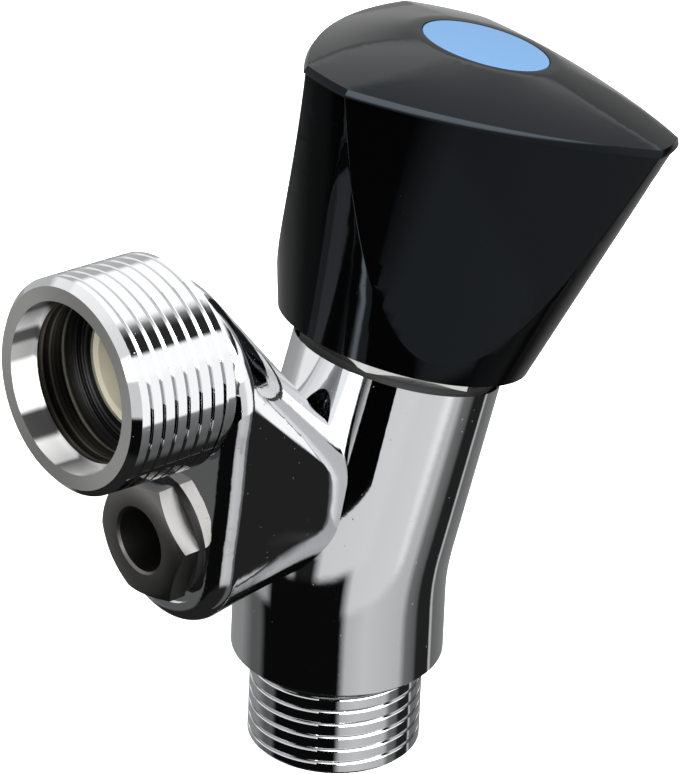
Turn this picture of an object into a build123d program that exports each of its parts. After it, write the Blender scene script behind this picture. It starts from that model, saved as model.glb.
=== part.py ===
from build123d import *
from math import asin, cos, degrees, radians, sin, sqrt
import os

os.makedirs("parts", exist_ok=True)

# Sizes in millimetres and degrees; the inlet points down along -Z and its lower end is the origin

# Pipe threads, as plain cylinders at their crests
inlet_thread_radius = 10.48
inlet_thread_length = 12.4
inlet_chamfer = 0.5
outlet_thread_radius = 13.22
outlet_face_radius = 12.3
outlet_thread_end = 13.7
outlet_relief_radius = 12.6

# Body casting
pipe_radius = 12.9
join_height = 25.3
branch_lean = 17.0
bend_radius = 30.0
branch_length = 26.3
shoulder_chamfer = 0.5
inlet_bore_radius = 7.2
inlet_bore_length = 20.0

# Outlet direction and neck
outlet_reach = 43.0
outlet_height = 62.6
outlet_rise = 3.6
plate_reach = 28.2
plate_rounding = 2.3
spigot_overlap = 0.5
pear_upper_radius = 14.0
pear_upper_height = 61.8
pear_lower_radius = 11.8
neck_root_reach = 6.0
neck_root_radius = 7.8
neck_root_upper_height = 40.3
neck_root_lower_height = 34.9
pear_arc_steps = 8
pear_side_steps = 4

# Outlet bores, by depth from the outlet face
mouth_radius = 10.5
mouth_depth = 3.4
bore_radius = 9.9
bore_depth = 9.6
cartridge_hole_radius = 7.6
cartridge_hole_depth = 18.4
cartridge_seat_radius = 5.5

# Waterway from the valve chamber to the outlet
waterway_radius = 4.2
waterway_top_x = -26.0
waterway_top_z = 55.0
waterway_low_x = -3.0
waterway_low_z = 33.8

# Valve chamber, by height along the branch axis from where it leaves the inlet axis
orifice_radius = 5.5
orifice_low = -8.0
seat_outer_radius = 7.0
seat_height = 5.2
chamber_floor = 4.0
chamber_radius = 9.0
headwork_thread_low = 17.0
headwork_thread_radius = 10.0
fit_clearance = 0.05

# Headwork body and its washer
bonnet_washer_thickness = 0.6
bonnet_washer_inner_radius = 10.15
bonnet_washer_outer_radius = 12.0
bonnet_low = 14.5
bonnet_nose_radius = 8.6
bonnet_hex_flats = 22.0
bonnet_hex_height = 5.5
bonnet_barrel_radius = 8.0
bonnet_top = 42.0
bonnet_round_bore_radius = 6.6
bonnet_flat_bore_low = 23.0
bonnet_flat_bore_half = 5.3
bonnet_hex_turn = 30.0
gland_length = 8.8
collar_bore_length = 2.2
spindle_bore_radius = 4.5
hex_chamfer_inset = 0.2
hex_chamfer_slope = 0.55

# Spindle
spindle_thread_radius = 4.0
spindle_low = 17.0
collar_radius = 5.1
collar_play = 0.05
journal_radius = 4.44
circlip_groove_radius = 3.7
circlip_clearance = 0.1
circlip_thickness = 0.8
circlip_outer_radius = 5.6
circlip_gap = 3.0
spline_radius = 4.0
spline_count = 20
spline_depth = 0.4
spline_length = 8.4
screw_radius = 2.0
screw_hole_depth = 9.0
spindle_ring_section = 0.6
spindle_ring_lower_inset = 2.2
spindle_ring_upper_inset = 2.8
ring_groove_play = 0.1

# Plunger
plunger_flange_low = 8.0
plunger_flange_high = 9.8
plunger_flange_radius = 7.4
plunger_round_radius = 6.5
plunger_flat_low = 18.6
plunger_flat_half = 5.2
plunger_lift = 4.0
plunger_head_gap = 0.5
plunger_bore_low = 11.8
plunger_ring_section = 0.8
plunger_ring_height = 16.4
seat_washer_radius = 7.2
seat_washer_hole_radius = 2.0
washer_screw_head_radius = 3.6
washer_screw_head_height = 1.4
washer_screw_top = 11.4

# Handle
skirt_low = 28.8
skirt_radius = 15.6
skirt_inner_radius = 13.7
rim_height = 61.5
lobe_radius = 25.3
side_radius = 19.1
lobe_half_angle = 8.45
side_low_radius = 16.3
side_middle_radius = 16.9
lobe_direction = 181.0
crease_rounding = 0.6
lip_overhang = 0.25
lip_edge = 0.2
lip_height = 0.95
lip_inset = 0.3
dome_middle_rise = 3.0
dome_middle_lobe_radius = 17.7
dome_middle_side_radius = 14.2
dome_middle_half_angle = 15.0
dome_rise = 4.8
dome_top_radius = 9.0
dome_top_half_angle = 30.0
cavity_roof = 4.5
cavity_top_radius = 16.0
handle_boss_radius = 7.2
handle_boss_gap = 0.7
handle_web_gap = 0.3
handle_web_thickness = 2.1
screw_clearance = 0.2
screw_head_radius = 3.6
screw_head_height = 2.4
screw_slot_width = 1.0
screw_slot_depth = 1.1
screw_end_gap = 2.0
well_radius = 4.6
disc_radius = 7.84
disc_gap = 0.1
disc_thickness = 1.2
disc_edge = 0.15

# Check valve in the outlet, by depth from the outlet face
cartridge_radius = 7.55
cartridge_front = 9.9
cartridge_wall_radius = 6.5
cage_front = 12.2
cage_back = 13.2
cage_play = 0.03
cage_inner_radius = 5.2
cage_hub_radius = 2.0
cage_spoke_width = 1.2
cage_spoke_count = 4
guide_radius = 1.1
guide_play = 0.08
cartridge_inner_radius = 5.9
valve_seat_depth = 17.3
valve_orifice_radius = 3.9
poppet_radius = 5.2
poppet_front = 15.9
poppet_back = 16.7
poppet_nose_radius = 3.0
poppet_nose_back = 17.2
poppet_stem_front = 11.2
check_spring_radius = 2.7
check_spring_wire = 0.2
check_spring_turns = 2.0
cartridge_ring_section = 0.45
cartridge_ring_depth = 15.2

# Air inlet below the outlet, by distance out of the spot face it sits on
plug_height = 37.9
spot_face_radius = 8.8
spot_face_depth = 0.3
plug_hex_back = 0.6
plug_hex_front = 3.5
plug_hex_flats = 14.0
plug_hex_turn = 11.0
plug_hole_radius = 4.0
plug_hole_chamfer = 0.3
plug_hole_back = -3.6
plug_seat_radius = 3.0
plug_stem_radius = 6.0
plug_stem_back = -7.6
air_ring_radius = 7.6
air_bore_radius = 5.0
air_bore_back = -11.6
air_channel_radius = 3.0
air_channel_back = -20.0
air_disc_radius = 4.7
air_disc_thickness = 1.2
air_spring_radius = 3.6
air_spring_wire = 0.2
air_spring_turns = 2.5

# Heights of the headwork and handle, each from what it seats on
collar_bore_high = bonnet_top - gland_length
collar_bore_low = collar_bore_high - collar_bore_length
spindle_ring_lower_height = collar_bore_high + spindle_ring_lower_inset
spindle_ring_upper_height = bonnet_top - spindle_ring_upper_inset
plunger_top = collar_bore_low - plunger_lift - plunger_head_gap
circlip_low = bonnet_top + circlip_clearance
handle_boss_low = circlip_low + circlip_thickness + handle_boss_gap
spindle_top = handle_boss_low + spline_length
screw_hole_low = spindle_top - screw_hole_depth
screw_low = screw_hole_low + screw_end_gap
handle_web_low = spindle_top + handle_web_gap
handle_web_high = handle_web_low + handle_web_thickness
cavity_top = rim_height - cavity_roof
lip_top = rim_height + lip_height
dome_middle_height = rim_height + dome_middle_rise
dome_top = rim_height + dome_rise

# Directions and working planes
lean = radians(branch_lean)
rise = radians(outlet_rise)
branch_axis_direction = Vector(sin(lean), 0, cos(lean))
branch_side_direction = Vector(cos(lean), 0, -sin(lean))
branch_frame = Plane(
    origin=(0, 0, join_height),
    x_dir=branch_side_direction,
    z_dir=branch_axis_direction,
)
branch_section = Plane(
    origin=branch_frame.origin,
    x_dir=branch_side_direction,
    z_dir=(0, -1, 0),
)
branch_axis = Axis(branch_frame.origin, branch_axis_direction)

outlet_direction = Vector(-cos(rise), 0, sin(rise))
outlet_up = Vector(sin(rise), 0, cos(rise))
outlet_frame = Plane(
    origin=(-outlet_reach, 0, outlet_height),
    x_dir=(0, -1, 0),
    z_dir=outlet_direction,
)
outlet_section = Plane(
    origin=outlet_frame.origin,
    x_dir=outlet_up,
    z_dir=(0, -1, 0),
)
outlet_axis = Axis(outlet_frame.origin, outlet_direction)

plate_frame = Plane(origin=(-plate_reach, 0, 0), x_dir=(0, -1, 0), z_dir=(-1, 0, 0))
neck_root_frame = Plane(origin=(-neck_root_reach, 0, 0), x_dir=(0, -1, 0), z_dir=(-1, 0, 0))
plug_frame = Plane(
    origin=(spot_face_depth - plate_reach, 0, plug_height),
    x_dir=(0, -1, 0),
    z_dir=(-1, 0, 0),
)
plug_section = Plane(origin=plug_frame.origin, x_dir=(0, 0, 1), z_dir=(0, -1, 0))
plug_axis = Axis(plug_frame.origin, plug_frame.z_dir)


def turned(section, axis, points):
    """Return the solid made by turning a closed profile of (radius, height) points."""
    with BuildPart() as piece:
        with BuildSketch(section):
            with BuildLine():
                Polyline(*points, close=True)
            make_face()
        revolve(axis=axis)
    return piece.part


def coil(frame, low, high, mean_radius, wire_radius, turns):
    """Return a compression spring with its axis along the frame's axis."""
    height = high - low - 2 * wire_radius
    start = frame.offset(low + wire_radius)
    with BuildPart() as piece:
        with BuildLine() as path:
            Helix(height / turns, height, mean_radius, center=start.origin, direction=start.z_dir)
        with BuildSketch(Plane(origin=path.line @ 0, z_dir=path.line % 0)):
            Circle(wire_radius)
        sweep()
    return piece.part


def hexagon_prism(frame, low, high, flats, turn):
    """Return a hexagon prism whose corners are turned off at its high end."""
    corner_radius = flats / sqrt(3)
    with BuildPart() as piece:
        with BuildSketch(frame.offset(low)):
            RegularPolygon(corner_radius, 6, rotation=turn)
        extrude(amount=high - low)
    section = Plane(origin=frame.origin, x_dir=frame.x_dir, z_dir=-frame.y_dir)
    inner = flats / 2 - hex_chamfer_inset
    fall = (corner_radius - inner) * hex_chamfer_slope
    cone = turned(
        section,
        Axis(frame.origin, frame.z_dir),
        [(0, low), (corner_radius, low), (corner_radius, high - fall), (inner, high), (0, high)],
    )
    return piece.part & cone


def pear_points(upper_height, upper_radius, lower_height, lower_radius):
    """Return points round two circles that are joined by straight sides."""
    tilt = degrees(asin((upper_radius - lower_radius) / (upper_height - lower_height)))
    points = []
    for start, end, height, radius, next_height, next_radius in (
        (tilt, 180 - tilt, upper_height, upper_radius, lower_height, lower_radius),
        (180 - tilt, 360 + tilt, lower_height, lower_radius, upper_height, upper_radius),
    ):
        for step in range(pear_arc_steps + 1):
            angle = radians(start + (end - start) * step / pear_arc_steps)
            points.append(Vector(radius * cos(angle), height + radius * sin(angle)))
        side_start = points[-1]
        side_end = Vector(next_radius * cos(angle), next_height + next_radius * sin(angle))
        for step in range(1, pear_side_steps):
            points.append(side_start + (side_end - side_start) * (step / pear_side_steps))
    return points


def lobed_face(frame, lobe, side, half_angle):
    """Return a three-lobed face made of six arcs."""
    points = []
    for index in range(3):
        centre = lobe_direction + 120 * index
        for radius, turn in ((lobe, -half_angle), (lobe, 0), (lobe, half_angle), (side, 60)):
            angle = radians(centre + turn)
            points.append((radius * cos(angle), radius * sin(angle)))
    points.append(points[0])
    with BuildSketch(frame) as outline:
        with BuildLine():
            for index in range(0, 12, 2):
                ThreePointArc(*points[index : index + 3])
        make_face()
    return outline.sketch


# Body casting: pear-shaped neck, leg and branch, threaded ends
plate_points = pear_points(pear_upper_height, pear_upper_radius, plug_height, pear_lower_radius)
root_points = pear_points(
    neck_root_upper_height,
    neck_root_radius,
    neck_root_lower_height,
    neck_root_radius,
)
with BuildPart() as neck:
    with BuildSketch(plate_frame):
        with BuildLine():
            Spline(*plate_points, periodic=True)
        make_face()
    with BuildSketch(neck_root_frame):
        with BuildLine():
            Spline(*root_points, periodic=True)
        make_face()
    loft()
    fillet(neck.faces().sort_by(Axis.X)[0].edges(), radius=plate_rounding)

with BuildPart() as spigot:
    with BuildSketch(outlet_frame):
        Circle(outlet_thread_radius)
    extrude(amount=-outlet_thread_end)
    chamfer(
        spigot.faces().sort_by(outlet_axis)[-1].edges(),
        length=outlet_thread_radius - outlet_face_radius,
    )
    with BuildSketch(outlet_frame.offset(-outlet_thread_end)):
        Circle(outlet_relief_radius)
    extrude(amount=-outlet_thread_radius)
    split(bisect_by=plate_frame.offset(-spigot_overlap), keep=Keep.TOP)

# Waterways cut from the casting
outlet_bores = turned(
    outlet_section,
    outlet_axis,
    [
        (0, 1),
        (mouth_radius, 1),
        (mouth_radius, -mouth_depth),
        (bore_radius, -mouth_depth),
        (bore_radius, -bore_depth),
        (cartridge_hole_radius, -bore_depth),
        (cartridge_hole_radius, -cartridge_hole_depth),
        (cartridge_seat_radius, -cartridge_hole_depth),
        (0, -cartridge_hole_depth - cartridge_seat_radius / 2),
    ],
)
air_bores = turned(
    plug_section,
    plug_axis,
    [
        (0, plug_hex_front),
        (spot_face_radius, plug_hex_front),
        (spot_face_radius, 0),
        (plug_stem_radius + fit_clearance, 0),
        (plug_stem_radius + fit_clearance, plug_stem_back),
        (air_bore_radius, plug_stem_back),
        (air_bore_radius, air_bore_back),
        (air_channel_radius, air_bore_back),
        (air_channel_radius, air_channel_back),
        (0, air_channel_back),
    ],
)
valve_chamber = turned(
    branch_section,
    branch_axis,
    [
        (0, orifice_low),
        (orifice_radius, orifice_low),
        (orifice_radius, seat_height),
        (seat_outer_radius, seat_height),
        (seat_outer_radius, chamber_floor),
        (chamber_radius, chamber_floor),
        (chamber_radius, headwork_thread_low),
        (headwork_thread_radius + fit_clearance, headwork_thread_low),
        (headwork_thread_radius + fit_clearance, branch_length + 1),
        (0, branch_length + 1),
    ],
)
waterway_top = Vector(waterway_top_x, 0, waterway_top_z)
waterway_low = Vector(waterway_low_x, 0, waterway_low_z)
waterway_run = waterway_low - waterway_top

bend_start = join_height - bend_radius * (1 - cos(lean)) / sin(lean)
bend_end = branch_frame.from_local_coords(Vector(0, 0, join_height - bend_start))
branch_top = branch_frame.from_local_coords(Vector(0, 0, branch_length))
with BuildPart() as valve_body:
    with BuildLine() as pipe_path:
        Line((0, 0, inlet_thread_length), (0, 0, bend_start))
        TangentArc((0, 0, bend_start), bend_end, tangent=(0, 0, 1))
        Line(bend_end, branch_top)
    with BuildSketch(Plane.XY.offset(inlet_thread_length)):
        Circle(pipe_radius)
    sweep()
    chamfer(valve_body.faces().sort_by(Axis.Z)[0].edges(), length=shoulder_chamfer)
    add(neck.part)
    with BuildSketch(Plane.XY):
        Circle(inlet_thread_radius)
    extrude(amount=inlet_bore_length)
    chamfer(valve_body.faces().sort_by(Axis.Z)[0].edges(), length=inlet_chamfer)
    add(spigot.part)
    with BuildSketch(Plane.XY):
        Circle(inlet_bore_radius)
    extrude(amount=inlet_bore_length, mode=Mode.SUBTRACT)
    with BuildSketch(Plane(origin=waterway_top, z_dir=waterway_run)):
        Circle(waterway_radius)
    extrude(amount=waterway_run.length, mode=Mode.SUBTRACT)
    add(outlet_bores, mode=Mode.SUBTRACT)
    add(air_bores, mode=Mode.SUBTRACT)
    add(valve_chamber, mode=Mode.SUBTRACT)

# Headwork body with its washer
bonnet_hex_low = branch_length + bonnet_washer_thickness
bonnet_hex_high = bonnet_hex_low + bonnet_hex_height
with BuildPart() as bonnet_washer:
    with BuildSketch(branch_frame.offset(branch_length)):
        Circle(bonnet_washer_outer_radius)
        Circle(bonnet_washer_inner_radius, mode=Mode.SUBTRACT)
    extrude(amount=bonnet_washer_thickness)

bonnet_turning = turned(
    branch_section,
    branch_axis,
    [
        (0, bonnet_low),
        (bonnet_nose_radius, bonnet_low),
        (bonnet_nose_radius, headwork_thread_low),
        (headwork_thread_radius, headwork_thread_low + headwork_thread_radius - bonnet_nose_radius),
        (headwork_thread_radius, bonnet_hex_low),
        (bonnet_barrel_radius, bonnet_hex_low),
        (bonnet_barrel_radius, bonnet_top),
        (0, bonnet_top),
    ],
)
bonnet_hexagon = hexagon_prism(
    branch_frame, bonnet_hex_low, bonnet_hex_high, bonnet_hex_flats, bonnet_hex_turn
)
with BuildPart() as bonnet:
    add(bonnet_turning)
    add(bonnet_hexagon)
    with BuildSketch(branch_frame.offset(bonnet_low)):
        Circle(bonnet_round_bore_radius)
    extrude(amount=bonnet_flat_bore_low - bonnet_low, mode=Mode.SUBTRACT)
    with BuildSketch(branch_frame.offset(bonnet_low)):
        Circle(bonnet_round_bore_radius)
        Rectangle(4 * bonnet_round_bore_radius, 2 * bonnet_flat_bore_half, mode=Mode.INTERSECT)
    extrude(amount=collar_bore_low - bonnet_low, mode=Mode.SUBTRACT)
    with BuildSketch(branch_frame.offset(bonnet_low)):
        Circle(collar_radius + ring_groove_play)
    extrude(amount=collar_bore_high - bonnet_low, mode=Mode.SUBTRACT)
    with BuildSketch(branch_frame.offset(bonnet_low)):
        Circle(spindle_bore_radius)
    extrude(amount=bonnet_top - bonnet_low, mode=Mode.SUBTRACT)

# Spindle, its seals and clip
spindle_groove_radius = spindle_bore_radius - fit_clearance - 2 * spindle_ring_section
spindle_groove_half = spindle_ring_section + ring_groove_play
spindle_turning = turned(
    branch_section,
    branch_axis,
    [
        (0, spindle_low),
        (spindle_thread_radius - spline_depth, spindle_low),
        (spindle_thread_radius, spindle_low + spline_depth),
        (spindle_thread_radius, collar_bore_low + ring_groove_play),
        (collar_radius, collar_bore_low + ring_groove_play),
        (collar_radius, collar_bore_high - collar_play),
        (journal_radius, collar_bore_high - collar_play),
        (journal_radius, spindle_ring_lower_height - spindle_groove_half),
        (spindle_groove_radius, spindle_ring_lower_height - spindle_groove_half),
        (spindle_groove_radius, spindle_ring_lower_height + spindle_groove_half),
        (journal_radius, spindle_ring_lower_height + spindle_groove_half),
        (journal_radius, spindle_ring_upper_height - spindle_groove_half),
        (spindle_groove_radius, spindle_ring_upper_height - spindle_groove_half),
        (spindle_groove_radius, spindle_ring_upper_height + spindle_groove_half),
        (journal_radius, spindle_ring_upper_height + spindle_groove_half),
        (journal_radius, circlip_low),
        (circlip_groove_radius, circlip_low),
        (circlip_groove_radius, circlip_low + circlip_thickness),
        (spline_radius, circlip_low + circlip_thickness),
        (spline_radius, spindle_top),
        (screw_radius + fit_clearance, spindle_top),
        (screw_radius + fit_clearance, screw_hole_low),
        (0, screw_hole_low),
    ],
)
with BuildPart() as spindle:
    add(spindle_turning)
    with BuildSketch(branch_frame.offset(handle_boss_low)):
        with PolarLocations(spline_radius, spline_count):
            RegularPolygon(spline_depth, 4)
    extrude(amount=spindle_top - handle_boss_low, mode=Mode.SUBTRACT)

spindle_ring_radius = spindle_groove_radius + spindle_ring_section
with BuildPart(branch_frame.offset(spindle_ring_lower_height)) as spindle_o_ring_lower:
    Torus(spindle_ring_radius, spindle_ring_section)
with BuildPart(branch_frame.offset(spindle_ring_upper_height)) as spindle_o_ring_upper:
    Torus(spindle_ring_radius, spindle_ring_section)

with BuildPart() as spindle_circlip:
    with BuildSketch(branch_frame.offset(circlip_low)):
        Circle(circlip_outer_radius)
        Circle(circlip_groove_radius, mode=Mode.SUBTRACT)
        with Locations((circlip_outer_radius, 0)):
            Rectangle(2 * circlip_outer_radius, circlip_gap, mode=Mode.SUBTRACT)
    extrude(amount=circlip_thickness)

# Plunger with seal, washer and screw
plunger_groove_radius = bonnet_round_bore_radius - fit_clearance - 2 * plunger_ring_section
plunger_groove_half = plunger_ring_section + ring_groove_play
plunger_turning = turned(
    branch_section,
    branch_axis,
    [
        (0, plunger_flange_low),
        (plunger_flange_radius, plunger_flange_low),
        (plunger_flange_radius, plunger_flange_high),
        (plunger_round_radius, plunger_flange_high),
        (plunger_round_radius, plunger_ring_height - plunger_groove_half),
        (plunger_groove_radius, plunger_ring_height - plunger_groove_half),
        (plunger_groove_radius, plunger_ring_height + plunger_groove_half),
        (plunger_round_radius, plunger_ring_height + plunger_groove_half),
        (plunger_round_radius, plunger_top),
        (spindle_thread_radius + fit_clearance, plunger_top),
        (spindle_thread_radius + fit_clearance, plunger_bore_low),
        (0, plunger_bore_low),
    ],
)
with BuildPart() as plunger:
    add(plunger_turning)
    with BuildSketch(branch_frame.offset(plunger_flat_low)):
        Circle(2 * plunger_round_radius)
        Rectangle(4 * plunger_round_radius, 2 * plunger_flat_half, mode=Mode.SUBTRACT)
    extrude(amount=plunger_top - plunger_flat_low, mode=Mode.SUBTRACT)
    with BuildSketch(branch_frame.offset(plunger_flange_low)):
        Circle(seat_washer_hole_radius)
    extrude(amount=plunger_bore_low - plunger_flange_low, mode=Mode.SUBTRACT)

with BuildPart(branch_frame.offset(plunger_ring_height)) as plunger_o_ring:
    Torus(plunger_groove_radius + plunger_ring_section, plunger_ring_section)

with BuildPart() as seat_washer:
    with BuildSketch(branch_frame.offset(seat_height)):
        Circle(seat_washer_radius)
        Circle(seat_washer_hole_radius + fit_clearance, mode=Mode.SUBTRACT)
    extrude(amount=plunger_flange_low - seat_height)

with BuildPart() as washer_screw:
    with BuildSketch(branch_frame.offset(seat_height - washer_screw_head_height)):
        Circle(washer_screw_head_radius)
    extrude(amount=washer_screw_head_height)
    with BuildSketch(branch_frame.offset(seat_height)):
        Circle(seat_washer_hole_radius - fit_clearance)
    extrude(amount=washer_screw_top - seat_height)
    with BuildSketch(branch_frame.offset(seat_height - washer_screw_head_height)):
        Rectangle(2 * washer_screw_head_radius, screw_slot_width)
    extrude(amount=washer_screw_head_height / 2, mode=Mode.SUBTRACT)

# Handle: a cone with three scooped sides under a lofted three-lobed dome
corner_angle = radians(60 - lobe_half_angle)
side_bow = side_radius - lobe_radius * cos(corner_angle)
side_curve_radius = ((lobe_radius * sin(corner_angle)) ** 2 + side_bow**2) / (2 * side_bow)
side_axis_distance = side_curve_radius - side_radius
with BuildPart() as handle_walls:
    add(
        turned(
            branch_section,
            branch_axis,
            [
                (0, skirt_low),
                (skirt_radius, skirt_low),
                (lobe_radius - lip_overhang, rim_height),
                (0, rim_height),
            ],
        )
    )
    for index in range(3):
        direction = radians(lobe_direction + 60 + 120 * index)
        outward = branch_side_direction * cos(direction) + Vector(0, 1, 0) * sin(direction)
        scoop_origin = branch_frame.origin - outward * side_axis_distance
        scoop_section = Plane(
            origin=scoop_origin, x_dir=outward, z_dir=outward.cross(branch_axis_direction)
        )
        low = (side_axis_distance + side_low_radius, skirt_low)
        middle = (side_axis_distance + side_middle_radius, (skirt_low + rim_height) / 2)
        high = (side_curve_radius - lip_overhang, rim_height)
        with BuildSketch(scoop_section):
            with BuildLine():
                ThreePointArc(low, middle, high)
                Polyline(high, (0, rim_height), (0, skirt_low), low)
            make_face()
        revolve(axis=Axis(scoop_origin, branch_axis_direction), mode=Mode.INTERSECT)
    creases = handle_walls.edges().filter_by(GeomType.BSPLINE)
    fillet(creases.filter_by(lambda edge: edge.length > 1), radius=crease_rounding)

rim_face = lobed_face(branch_frame.offset(rim_height), lobe_radius, side_radius, lobe_half_angle)
lip_face = lobed_face(
    branch_frame.offset(rim_height + lip_edge), lobe_radius, side_radius, lobe_half_angle
)
dome_faces = [
    lobed_face(
        branch_frame.offset(lip_top),
        lobe_radius - lip_inset,
        side_radius - lip_inset,
        lobe_half_angle,
    ),
    lobed_face(
        branch_frame.offset(dome_middle_height),
        dome_middle_lobe_radius,
        dome_middle_side_radius,
        dome_middle_half_angle,
    ),
    lobed_face(
        branch_frame.offset(dome_top),
        dome_top_radius,
        dome_top_radius,
        dome_top_half_angle,
    ),
]
with BuildPart() as handle_dome:
    loft(sections=[face.face() for face in dome_faces])
    loft(sections=[lip_face.face(), dome_faces[0].face()])
    extrude(rim_face.face(), amount=lip_edge, dir=branch_axis_direction)

handle_cavity = turned(
    branch_section,
    branch_axis,
    [
        (0, skirt_low - 1),
        (skirt_inner_radius, skirt_low - 1),
        (skirt_inner_radius, skirt_low),
        (cavity_top_radius, cavity_top),
        (handle_boss_radius, cavity_top),
        (handle_boss_radius, handle_boss_low),
        (0, handle_boss_low),
    ],
)
handle_bores = turned(
    branch_section,
    branch_axis,
    [
        (0, handle_boss_low - 1),
        (spline_radius + fit_clearance, handle_boss_low - 1),
        (spline_radius + fit_clearance, handle_web_low),
        (screw_radius + screw_clearance, handle_web_low),
        (screw_radius + screw_clearance, handle_web_high),
        (well_radius, handle_web_high),
        (well_radius, dome_top - disc_thickness),
        (disc_radius + disc_gap, dome_top - disc_thickness),
        (disc_radius + disc_gap, dome_top + 1),
        (0, dome_top + 1),
    ],
)
with BuildPart() as handle:
    add(handle_walls.part)
    add(handle_dome.part)
    add(handle_cavity, mode=Mode.SUBTRACT)
    add(handle_bores, mode=Mode.SUBTRACT)

with BuildPart() as index_disc:
    with BuildSketch(branch_frame.offset(dome_top - disc_thickness)):
        Circle(disc_radius)
    extrude(amount=disc_thickness)
    fillet(index_disc.faces().sort_by(branch_axis)[-1].edges(), radius=disc_edge)

with BuildPart() as handle_screw:
    with BuildSketch(branch_frame.offset(screw_low)):
        Circle(screw_radius)
    extrude(amount=handle_web_high - screw_low)
    with BuildSketch(branch_frame.offset(handle_web_high)):
        Circle(screw_head_radius)
    extrude(amount=screw_head_height)
    with BuildSketch(branch_frame.offset(handle_web_high + screw_head_height)):
        Rectangle(2 * screw_head_radius, screw_slot_width)
        Rectangle(screw_slot_width, 2 * screw_head_radius)
    extrude(amount=-screw_slot_depth, mode=Mode.SUBTRACT)

# Check valve in the outlet
cartridge_groove_radius = cartridge_hole_radius - fit_clearance - 2 * cartridge_ring_section
cartridge_groove_half = cartridge_ring_section + ring_groove_play
check_valve_turning = turned(
    outlet_section,
    outlet_axis,
    [
        (cartridge_wall_radius, -cartridge_front),
        (cartridge_radius, -cartridge_front),
        (cartridge_radius, cartridge_groove_half - cartridge_ring_depth),
        (cartridge_groove_radius, cartridge_groove_half - cartridge_ring_depth),
        (cartridge_groove_radius, -cartridge_groove_half - cartridge_ring_depth),
        (cartridge_radius, -cartridge_groove_half - cartridge_ring_depth),
        (cartridge_radius, -cartridge_hole_depth),
        (valve_orifice_radius, -cartridge_hole_depth),
        (valve_orifice_radius, -valve_seat_depth),
        (cartridge_inner_radius, -valve_seat_depth),
        (cartridge_inner_radius, -cage_back),
        (cartridge_wall_radius, -cage_back),
    ],
)

with BuildPart() as check_valve_body:
    add(check_valve_turning)

with BuildPart(outlet_frame.offset(-cartridge_ring_depth)) as check_valve_o_ring:
    Torus(cartridge_groove_radius + cartridge_ring_section, cartridge_ring_section)

with BuildPart() as check_valve_cage:
    with BuildSketch(outlet_frame.offset(-cage_back)):
        Circle(cartridge_wall_radius - cage_play)
        Circle(cage_inner_radius, mode=Mode.SUBTRACT)
        Circle(cage_hub_radius)
        with PolarLocations(cage_inner_radius / 2, cage_spoke_count):
            Rectangle(cage_inner_radius + 2 * cage_play, cage_spoke_width)
        Circle(guide_radius + guide_play, mode=Mode.SUBTRACT)
    extrude(amount=cage_back - cage_front)

poppet_turning = turned(
    outlet_section,
    outlet_axis,
    [
        (0, -poppet_stem_front),
        (guide_radius, -poppet_stem_front),
        (guide_radius, -poppet_front),
        (poppet_radius, -poppet_front),
        (poppet_radius, -poppet_back),
        (poppet_nose_radius, -poppet_back),
        (poppet_nose_radius, -poppet_nose_back),
        (0, -poppet_nose_back),
    ],
)
with BuildPart() as check_poppet:
    add(poppet_turning)

with BuildPart() as check_poppet_seal:
    with BuildSketch(outlet_frame.offset(-poppet_back)):
        Circle(poppet_radius)
        Circle(poppet_nose_radius + cage_play, mode=Mode.SUBTRACT)
    extrude(amount=poppet_back - valve_seat_depth)

with BuildPart() as check_spring:
    add(
        coil(
            outlet_frame,
            -poppet_front,
            -cage_back,
            check_spring_radius,
            check_spring_wire,
            check_spring_turns,
        )
    )

# Air inlet plug, its seal, disc and spring
plug_turning = turned(
    plug_section,
    plug_axis,
    [
        (0, plug_hex_back),
        (plug_stem_radius, plug_hex_back),
        (plug_stem_radius, plug_stem_back),
        (0, plug_stem_back),
    ],
)
plug_hole = turned(
    plug_section,
    plug_axis,
    [
        (0, plug_hex_front),
        (plug_hole_radius + plug_hole_chamfer, plug_hex_front),
        (plug_hole_radius, plug_hex_front - plug_hole_chamfer),
        (plug_hole_radius, plug_hole_back),
        (plug_seat_radius, plug_hole_back),
        (plug_seat_radius, plug_stem_back),
        (0, plug_stem_back),
    ],
)
with BuildPart() as air_inlet_plug:
    add(hexagon_prism(plug_frame, plug_hex_back, plug_hex_front, plug_hex_flats, plug_hex_turn))
    add(plug_turning)
    add(plug_hole, mode=Mode.SUBTRACT)

with BuildPart() as air_inlet_o_ring:
    with BuildSketch(plug_frame):
        Circle(air_ring_radius)
        Circle(plug_stem_radius + fit_clearance, mode=Mode.SUBTRACT)
    extrude(amount=plug_hex_back)

air_disc_back = plug_stem_back - air_disc_thickness
with BuildPart() as air_valve_disc:
    with BuildSketch(plug_frame.offset(air_disc_back)):
        Circle(air_disc_radius)
    extrude(amount=air_disc_thickness)

with BuildPart() as air_valve_spring:
    add(
        coil(
            plug_frame,
            air_bore_back,
            air_disc_back,
            air_spring_radius,
            air_spring_wire,
            air_spring_turns,
        )
    )

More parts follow.
